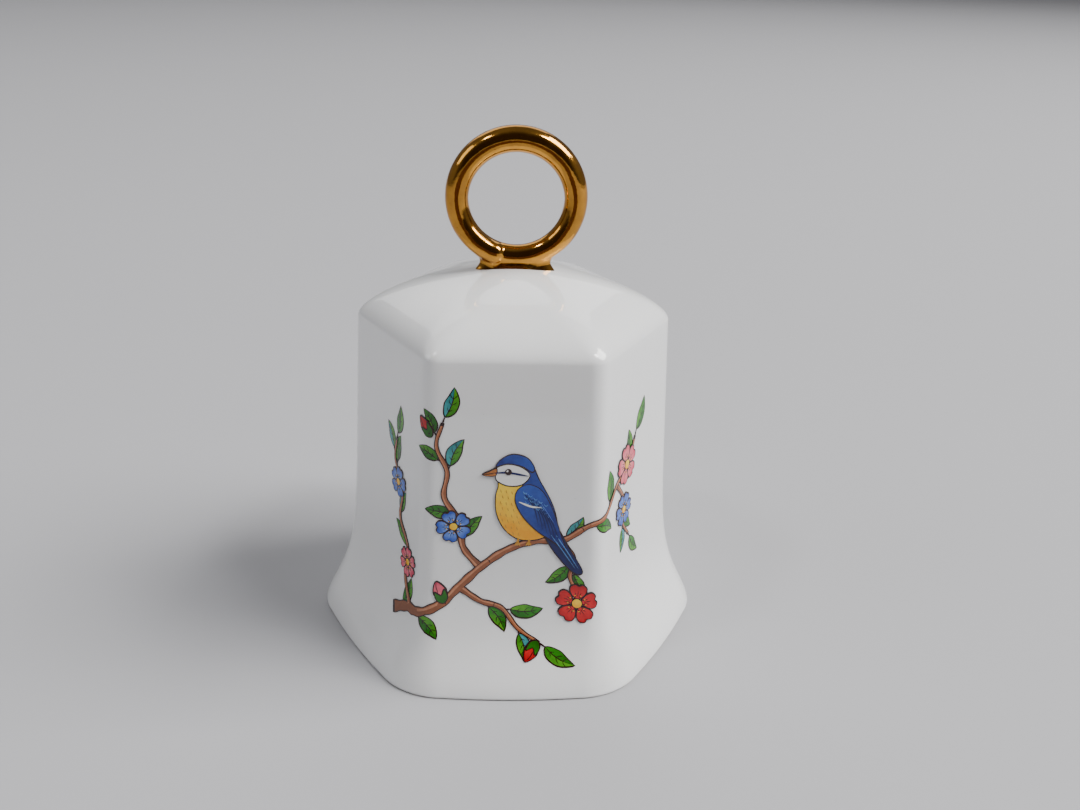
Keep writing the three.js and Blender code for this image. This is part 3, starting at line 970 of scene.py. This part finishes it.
# One long branch that rises to the right, then its twigs: the line, the widths at its two ends, the
# leaves on it and its knots.
BRANCHES = (
    (((-22.5, 10.5), (-18.4, 12.6), (-15.0, 13.2), (-11.2, 15.2), (-8.2, 18.6), (-4.8, 22.2), (-0.8, 25.2),
      (3.6, 26.8), (8.2, 27.0), (12.4, 29.6), (16.6, 30.8), (20.6, 34.6), (24.6, 36.2), (27.6, 40.8)),
     1.7, 0.5,
     ((0.04, 1, 5.4), (0.13, -1, 5.0), (0.62, 1, 4.4), (0.7, -1, 5.2), (0.79, 1, 5.6), (0.86, -1, 5.0),
      (0.93, 1, 5.2), (1, 0, 6.0)), (0.24, 0.4, 0.52, 0.67)),
    (((-5.2, 21.9), (-8.0, 25.6), (-8.6, 30.2), (-11.2, 34.6), (-10.8, 39.2), (-12.6, 43.6), (-11.6, 47.6)),
     1.1, 0.45, ((0.2, -1, 4.6), (0.36, 1, 5.0), (0.66, -1, 5.2), (0.72, 1, 4.6), (0.9, 1, 4.4), (1, 0, 5.2)),
     (0.3,)),
    (((-8.4, 18.2), (-5.0, 15.8), (-1.6, 14.6), (1.0, 11.2), (4.2, 8.8)), 1.0, 0.4,
     ((0.3, -1, 4.8), (0.52, 1, 5.2), (0.74, -1, 4.4), (1, 0, 5.0)), (0.4,)),
    (((8.0, 26.8), (10.0, 23.6), (9.4, 20.2), (10.6, 17.4)), 0.85, 0.5, ((0.4, -1, 4.8), (0.55, 1, 4.2))),
    (((-17.6, 12.8), (-20.4, 17.4), (-20.0, 22.6), (-23.2, 27.0), (-22.4, 32.2), (-25.4, 36.8),
      (-24.8, 41.0)),
     0.95, 0.4, ((0.16, -1, 4.2), (0.32, 1, 5.2), (0.5, -1, 4.6), (0.62, 1, 4.6), (0.8, -1, 5.2),
                 (0.88, 1, 4.8), (1, 0, 5.2))),
    (((20.4, 34.4), (23.2, 30.8), (23.0, 26.4), (25.6, 22.8)), 0.75, 0.4,
     ((0.3, -1, 4.4), (0.5, 1, 4.6), (0.72, -1, 4.4), (1, 0, 4.8))),
)


def paint_branches(painting):
    for branch in BRANCHES:
        twig(painting, *branch)


def paint_flowers(painting):
    blossom(painting, (10.4, 15.4), 3.5, 5, "red", 10)
    blossom(painting, (-9.6, 29.4), 2.9, 5, "cornflower", 40)
    blossom(painting, (-19.8, 20.0), 2.7, 6, "rose", 25)
    blossom(painting, (-24.0, 33.2), 2.7, 5, "cornflower", 5)
    blossom(painting, (23.4, 28.6), 3.0, 6, "cornflower", 0)
    blossom(painting, (24.2, 36.8), 3.6, 5, "rose", 30, 16)
    bud(painting, (-13.6, 45.4), (-16.2, 48.2), 2.2, "red")
    bud(painting, (-10.8, 15.6), (-12.2, 19.2), 2.2, "rose")
    bud(painting, (3.8, 9.0), (2.0, 6.0), 2.0, "red")


# The bird's parts in the order they are laid on, their points measured from where it perches.
BIRD = {
    "tail": ("navy", [(3.0, 0.6), (4.9, 1.8), (7.0, -2.0), (9.2, -6.2), (8.2, -6.9), (6.2, -5.0),
                      (4.0, -1.9)]),
    "belly": ("yellow", [(-5.2, 12.2), (-4.3, 13.8), (-2.4, 14.7), (-0.2, 14.1), (1.1, 12.3), (2.2, 9.8),
                         (3.7, 7.0), (4.7, 4.2), (4.9, 1.7), (3.4, 0.2), (1.2, -0.6), (-1.4, -0.4),
                         (-3.6, 1.4), (-4.9, 4.2), (-5.1, 7.2), (-4.7, 9.4), (-5.2, 10.9)]),
    "back": ("blue", [(0.6, 12.9), (1.9, 10.4), (3.6, 7.2), (4.7, 4.2), (4.9, 1.6), (3.6, 1.8), (1.9, 5.0),
                      (0.0, 8.4), (-1.2, 10.4)]),
    "cheek": ("white", [(-5.2, 12.2), (-3.4, 13.0), (-1.2, 12.6), (0.4, 11.2), (-0.8, 9.5), (-3.0, 9.2),
                        (-4.8, 10.0), (-5.2, 10.9)]),
    "cap": ("blue", [(-5.1, 12.6), (-4.3, 13.9), (-2.4, 14.8), (-0.1, 14.2), (1.1, 12.5), (0.7, 11.7),
                     (-1.0, 12.7), (-3.2, 13.1)]),
    "wing": ("blue", [(-1.5, 8.6), (0.3, 9.5), (2.5, 8.3), (4.3, 4.8), (5.5, 0.8), (6.3, -2.2), (4.0, -0.6),
                      (1.6, 1.2), (-0.7, 3.8), (-1.9, 6.5)]),
    "beak": ("beak", [(-5.0, 12.3), (-6.2, 11.8), (-7.3, 11.2), (-6.1, 10.9), (-5.1, 11.1)]),
}


def paint_bird(painting):
    """A small round tit on the branch, facing left, drawn in its own place and then set down."""
    perch, coats = P(2.2, 27.6), 14
    top = coats + 7

    def at(*points):
        return [perch + P(x, y) for x, y in points]

    outlines = {part: at(*points) for part, (paint, points) in BIRD.items()}
    washes = {"belly": at((-1, 0), (-2, 9)), "wing": at((5, 0), (0, 9)), "cap": at((-5, 12), (0, 15))}
    for number, (part, (paint, _)) in enumerate(BIRD.items()):
        painting.shape(outlines[part], paint, coats + 0.8 * number, washes.get(part, 0.5), 0.85)
    for number in range(6):
        root, tip = (-0.6 + 0.5 * number, 8.1 - 0.35 * number), (1.9 + 0.75 * number, 2.2 - 0.85 * number)
        start, end = at(root, tip)
        middle, aside = (start + end) / 2 + P(0.5, 0.2), P(0.3, 0)
        painting.stroke([start, middle, end], top, 0.9, "navy")
        painting.stroke([start + aside, middle + aside], top, 0.6, "cornflower")
    for row in range(3):
        for column in range(5 - row):
            x, y = -0.7 + 0.85 * column + 0.2 * row, 8.3 - 0.55 * column - 0.9 * row
            scallop = at((x, y), (x + 0.35, y - 0.45), (x + 0.7, y - 0.2))
            painting.stroke(scallop, top + 0.5, 0.6, "sky", steps=4)
    painting.stroke(at((-1.3, 6.4), (0.6, 5.6), (2.4, 5.4)), top + 0.6, 1.5, "white")
    for row in range(8):
        for column in range(4):
            x, y = -4.3 + 0.9 * column + 0.3 * (row % 2), 8.6 - 1.05 * row - 0.15 * column
            fleck = at((x, y), (x + 0.06, y - 0.35), (x + 0.2, y - 0.6))
            covered = inside(fleck[0] + P(0.5, 0), outlines["wing"])
            if inside(fleck[0], outlines["belly"]) and not covered:
                painting.stroke(fleck, top - 4, 0.65, "ochre", steps=4)
    painting.stroke(at((-5.2, 11.5), (-3.4, 11.6), (-1.4, 11.3), (0.2, 11.0)), top, 1.7, "navy")
    eye = ((-3.1, 11.7, 0.55, "ink", top + 1), (-3.25, 11.88, 0.16, "white", top + 2))
    for x, y, radius, paint, coat in eye:
        ring = [at((x, y))[0] + polar(radius, step * 36) for step in range(10)]
        painting.shape(ring, paint, coat, line=0)
    painting.stroke(at((-7.2, 11.2), (-6.2, 11.35), (-5.1, 11.6)), top + 1, 0.6)
    for foot in (-1.3, 0.5):
        painting.stroke(at((foot, -0.4), (foot - 0.1, -1.0)), top, 1.6, "ochre", end=1)
        for toe in (-0.7, 0, 0.6):
            painting.stroke(at((foot - 0.1, -0.9), (foot - 0.1 + toe * 0.7, -1.6)), top + 1, 1.3, "ochre")
    for shift in (0, 0.8):
        feather = at((4.0 + shift, 0.4), (6.0 + shift * 0.8, -2.6), (8.0 + shift * 0.6, -5.8))
        painting.stroke(feather, top, 0.7, "sky")


def paint_back(painting):
    """A flowering sprig on each of the three sides that face away."""
    sprigs = ((2, 1, "rose", "cornflower"), (3, -1, "red", "rose"), (4, 1, "cornflower", "red"))
    for side, flip, flower, small in sprigs:

        def at(*points):
            return [(side * painting.side_width + flip * x, y) for x, y in points]

        main = at((-8.6, 13.6), (-5.8, 18.6), (-6.2, 23.6), (-3.2, 28.6), (-1.6, 34.0), (-2.2, 39.0),
                  (0.6, 43.6))
        leaves = [(0.12, flip, 5.2), (0.36, flip, 5.0), (0.5, -flip, 5.2), (0.7, flip, 5.0),
                  (0.85, -flip, 4.6), (1, 0, 5.4)]
        twig(painting, main, 1.2, 0.5, leaves, (0.3, 0.6))
        low = at((-6.0, 21.6), (-2.4, 20.8), (0.8, 22.4), (4.2, 21.2), (7.2, 23.0))
        twig(painting, low, 0.9, 0.4, [(0.4, -1, 4.8), (0.6, 1, 4.8), (0.8, -1, 4.8), (1, 0, 4.8)])
        high = at((-1.8, 33.0), (1.8, 33.8), (4.6, 37.0))
        twig(painting, high, 0.75, 0.45, [(0.5, -1, 4.4), (0.5, 1, 4.2)])
        blossom(painting, *at((-2.0, 27.4)), 3.3, 5, flower, 8)
        blossom(painting, *at((5.6, 38.6)), 2.6, 6, small, 30)
        bud(painting, *at((-8.8, 13.4), (-10.2, 9.8)), 2.2, small)


# ---- Light and camera ------------------------------------------------------------------------


def add_softbox(name, bearing, elevation, distance, width, height, power, colour=(1, 1, 1)):
    """A large soft light aimed at the middle of the bell, its bearing and elevation in degrees."""
    away = heading(math.radians(bearing), math.radians(elevation))
    light = bpy.data.lights.new(name, "AREA")
    light.shape, light.size, light.size_y = "RECTANGLE", width, height
    light.energy, light.color = power, colour
    lamp = bpy.data.objects.new(name, light)
    place = Matrix.Translation(Vector((0, 0, 0.04)) + away * distance)
    lamp.matrix_world = place @ (-away).to_track_quat("-Z", "Y").to_matrix().to_4x4()
    bpy.context.scene.collection.objects.link(lamp)


def add_dark_card():
    """A dark card low before the bell, seen only as the dark line it draws along the gilding."""
    size, place = (0.10, 0.002, 0.062), (-0.012, -0.15, 0.036)
    card = added("dark_card", bpy.ops.mesh.primitive_cube_add, size=1, location=place, scale=size)
    m = Nodes("Dark card")
    m.set(Base_Color=(0.20, 0.10, 0.06, 1), Roughness=0.9)
    set_material(card, m.material)
    card.visible_camera = card.visible_diffuse = card.visible_shadow = card.visible_transmission = False


def add_world():
    """A pale room, whose darker side before the bell is only seen in its gloss."""
    pale, dark = (0.80, 0.80, 0.83), (0.16, 0.12, 0.10)
    world = bpy.data.worlds.new("Room")
    bpy.context.scene.world = world
    m = Nodes("Room", world)
    directions = {
        0: m.node("ShaderNodeTexCoord").outputs["Generated"],
        1: heading(math.radians(-92), math.radians(12)),
    }
    facing = m.node("ShaderNodeVectorMath", directions, operation="DOT_PRODUCT").outputs["Value"]
    limits = {"Value": facing, 1: 0.35, 2: 0.86, 3: 0.0, 4: 1.0}
    fall = m.node("ShaderNodeMapRange", limits, interpolation_type="SMOOTHSTEP").outputs["Result"]
    camera_ray = m.node("ShaderNodeLightPath").outputs["Is Camera Ray"]
    share = m.node("ShaderNodeMath", {0: fall, 1: camera_ray}, operation="SUBTRACT", use_clamp=True)
    m.link(m.mix(share.outputs["Value"], pale, dark), "Color")
    m.set(Strength=0.27)


def add_camera(stage):
    forward = heading(math.pi / 2 - stage.camera_pan, -stage.camera_pitch)
    right = forward.cross(Vector((0, 0, 1))).normalized()
    up = right.cross(forward)
    cosine, sine = math.cos(stage.camera_roll), math.sin(stage.camera_roll)
    axes = (cosine * right + sine * up, cosine * up - sine * right, -forward)
    placed = Matrix(axes).transposed().to_4x4()
    placed.translation = heading(stage.camera_bearing) * stage.camera_distance
    placed.translation.z = stage.camera_height
    data = bpy.data.cameras.new("View")
    data.lens, data.sensor_width, data.clip_start = stage.lens, 36, 0.005
    camera = bpy.data.objects.new("View", data)
    camera.matrix_world = placed
    bpy.context.scene.collection.objects.link(camera)
    bpy.context.scene.camera = camera


def add_floor(colour):
    floor = added("floor", bpy.ops.mesh.primitive_plane_add, size=8)
    m = Nodes("Matt floor")
    m.link(m.mix(m.noise(9, 3), shade(colour, 0.985), colour), "Base Color")
    m.set(Roughness=0.7)
    set_material(floor, m.material)


# ---- Operators -------------------------------------------------------------------------------


def require_sound(piece):
    """Stops the script if a piece is open or empty, or has grown out of the frame's box."""
    edges = {}
    for polygon in piece.data.polygons:
        for key in polygon.edge_keys:
            edges[key] = edges.get(key, 0) + 1
    open_edges = sum(1 for count in edges.values() if count != 2)
    if not edges or open_edges:
        raise RuntimeError(f"{piece.name} isn't closed: {open_edges} of its {len(edges)} edges are open")
    low, high = CAD_BOX
    room = (high - low) * 0.03
    for vertex in piece.data.vertices:
        for axis in range(3):
            if not low[axis] - room[axis] <= vertex.co[axis] <= high[axis] + room[axis]:
                raise RuntimeError(f"{piece.name} leaves the frame's box at {tuple(vertex.co)}")


def finish_piece(piece, material, body, slot, *nodes):
    """Hands a piece to the frame: the body it rides on and the nodes it stands for. The slot is not used."""
    if material:
        set_material(piece, material)
    require_sound(piece)
    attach(piece, body)
    if nodes:
        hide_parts(*nodes)


class BELL_OT_shell(bpy.types.Operator):
    """Makes the six-sided porcelain shell"""

    bl_idname = "bell.shell"
    bl_label = "Porcelain Shell"

    def execute(self, context):
        settings = context.scene.bell_shell
        glaze = glazed_china("Glazed china", settings.glaze)
        finish_piece(make_shell(settings), glaze, "shell", "glazed_porcelain", "bell_body")
        return {"FINISHED"}


class BELL_OT_ring(bpy.types.Operator):
    """Makes the gilded ring handle and its foot"""

    bl_idname = "bell.ring"
    bl_label = "Ring Handle"

    def execute(self, context):
        settings = context.scene.bell_ring
        gilding = gold_lustre("Gold lustre", settings.gold)
        finish_piece(make_ring(settings), gilding, "shell", "gilding", "ring_handle")
        return {"FINISHED"}


class BELL_OT_chain(bpy.types.Operator):
    """Makes the cement, the staple in it and the links of the chain"""

    bl_idname = "bell.chain"
    bl_label = "Cement, Staple and Chain"

    def execute(self, context):
        settings = context.scene.bell_suspension
        brass = drawn_brass("Drawn brass", settings.brass)
        bodies = ("upper_link", "middle_link", "lower_link")
        tops = [HINGES[f"{body}_swing"].z for body in bodies]
        finish_piece(make_staple(settings, tops[0]), brass, "shell", "brass_wire", "hanger_staple")
        for i, body in enumerate(bodies):
            link = make_link(i + 1, settings, tops[i], tops[0] - tops[1], i % 2 == 0)
            finish_piece(link, brass, body, "brass_wire", f"chain_link_{i + 1}")
        cement = rough_cement("Cement", settings.cement)
        finish_piece(make_cement(), cement, "shell", "cement", "crown_cement")
        return {"FINISHED"}


class BELL_OT_clapper(bpy.types.Operator):
    """Makes the clapper: its pin and its glazed drop"""

    bl_idname = "bell.clapper"
    bl_label = "Clapper"

    def execute(self, context):
        settings = context.scene.bell_suspension
        pin = make_pin(settings, HINGES["clapper_swing"].z)
        brass = drawn_brass("Clapper brass", settings.brass)
        finish_piece(pin, brass, "clapper", "brass_wire", "clapper_pin")
        glaze = glazed_china("Clapper glaze", context.scene.bell_shell.glaze)
        finish_piece(make_drop(settings), glaze, "clapper", "clapper_glaze", "clapper_drop")
        return {"FINISHED"}


class BELL_OT_painting(bpy.types.Operator):
    """Paints a bird on a flowering branch, and a sprig on each side at the back, in enamel"""

    bl_idname = "bell.painting"
    bl_label = "Enamel Painting"

    def execute(self, context):
        settings = context.scene.bell_painting
        paints = {name: enamel(f"Enamel {name}", *pair) for name, pair in tones(settings).items()}
        for name, subject in SUBJECTS.items():
            painting = Painting(name, context.scene.bell_shell, settings, paints)
            subject(painting)
            finish_piece(painting.make(), None, "shell", "glazed_porcelain")
        return {"FINISHED"}


class BELL_OT_stage(bpy.types.Operator):
    """Adds the floor, the lights and the camera"""

    bl_idname = "bell.stage"
    bl_label = "Stage"

    def execute(self, context):
        stage = context.scene.bell_stage
        add_floor(stage.floor)
        add_softbox("Key", -6, 44, 2.6, 1.5, 1.3, 118.0, (1.0, 0.99, 0.965))
        add_softbox("Fill", 190, 32, 2.6, 1.2, 1.0, 10.0, (0.95, 0.97, 1.0))
        add_softbox("Lamp right", -31, 56, 1.6, 0.24, 0.24, 7.0)
        add_softbox("Lamp left", -151, 56, 1.6, 0.17, 0.17, 3.8)
        add_softbox("Window", 96, 40, 3.0, 3.2, 1.7, 24.0)
        add_dark_card()
        add_world()
        add_camera(stage)
        return {"FINISHED"}


SUBJECTS = {
    "painted_branches": paint_branches,
    "painted_flowers": paint_flowers,
    "painted_bird": paint_bird,
    "painted_sprigs": paint_back,
}


def tones(settings):
    """The deep and the pale tone of each enamel."""
    return {
        "ink": (settings.ink, shade(settings.ink, 1.6)),
        "blue": (settings.blue, (0.022, 0.07, 0.36)),
        "navy": (shade(settings.blue, 0.3), shade(settings.blue, 0.7)),
        "cornflower": ((0.015, 0.06, 0.40), (0.16, 0.30, 0.76)),
        "sky": ((0.02, 0.10, 0.42), (0.16, 0.38, 0.72)),
        "teal": ((0.01, 0.14, 0.15), (0.06, 0.32, 0.34)),
        "green": (settings.green, (0.09, 0.33, 0.015)),
        "deep_green": (shade(settings.green, 0.55), shade(settings.green, 1.3)),
        "brown": (shade(settings.brown, 0.6), settings.brown),
        "pale_brown": (settings.brown, (0.58, 0.27, 0.15)),
        "red": (settings.red, (0.62, 0.02, 0.02)),
        "rose": ((0.60, 0.045, 0.10), (0.84, 0.24, 0.28)),
        "yellow": ((0.80, 0.33, 0.006), (0.92, 0.62, 0.035)),
        "ochre": ((0.45, 0.20, 0.02), (0.60, 0.30, 0.04)),
        "white": ((0.72, 0.72, 0.72), (0.84, 0.84, 0.82)),
        "beak": ((0.26, 0.07, 0.015), (0.58, 0.22, 0.05)),
    }


class BELL_PT_panel(bpy.types.Panel):
    bl_idname = "BELL_PT_panel"
    bl_label = "Porcelain Bell"
    bl_space_type = "VIEW_3D"
    bl_region_type = "UI"
    bl_category = "Bell"

    def draw(self, context):
        for operator in OPERATORS:
            self.layout.operator(operator.bl_idname)


SETTINGS = {
    "bell_shell": BellShellSettings,
    "bell_ring": RingHandleSettings,
    "bell_suspension": SuspensionSettings,
    "bell_painting": PaintingSettings,
    "bell_stage": StageSettings,
}
OPERATORS = (BELL_OT_shell, BELL_OT_ring, BELL_OT_chain, BELL_OT_clapper, BELL_OT_painting, BELL_OT_stage)
CLASSES = (*SETTINGS.values(), *OPERATORS, BELL_PT_panel)


def register():
    for item in CLASSES:
        bpy.utils.register_class(item)
    for name, item in SETTINGS.items():
        setattr(bpy.types.Scene, name, PointerProperty(type=item))


def unregister():
    for name in SETTINGS:
        delattr(bpy.types.Scene, name)
    for item in reversed(CLASSES):
        bpy.utils.unregister_class(item)


def main():
    register()
    bpy.ops.bell.shell()
    bpy.ops.bell.ring()
    bpy.ops.bell.chain()
    bpy.ops.bell.clapper()
    bpy.ops.bell.painting()
    bpy.ops.bell.stage()
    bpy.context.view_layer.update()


if __name__ == "__main__":
    main()
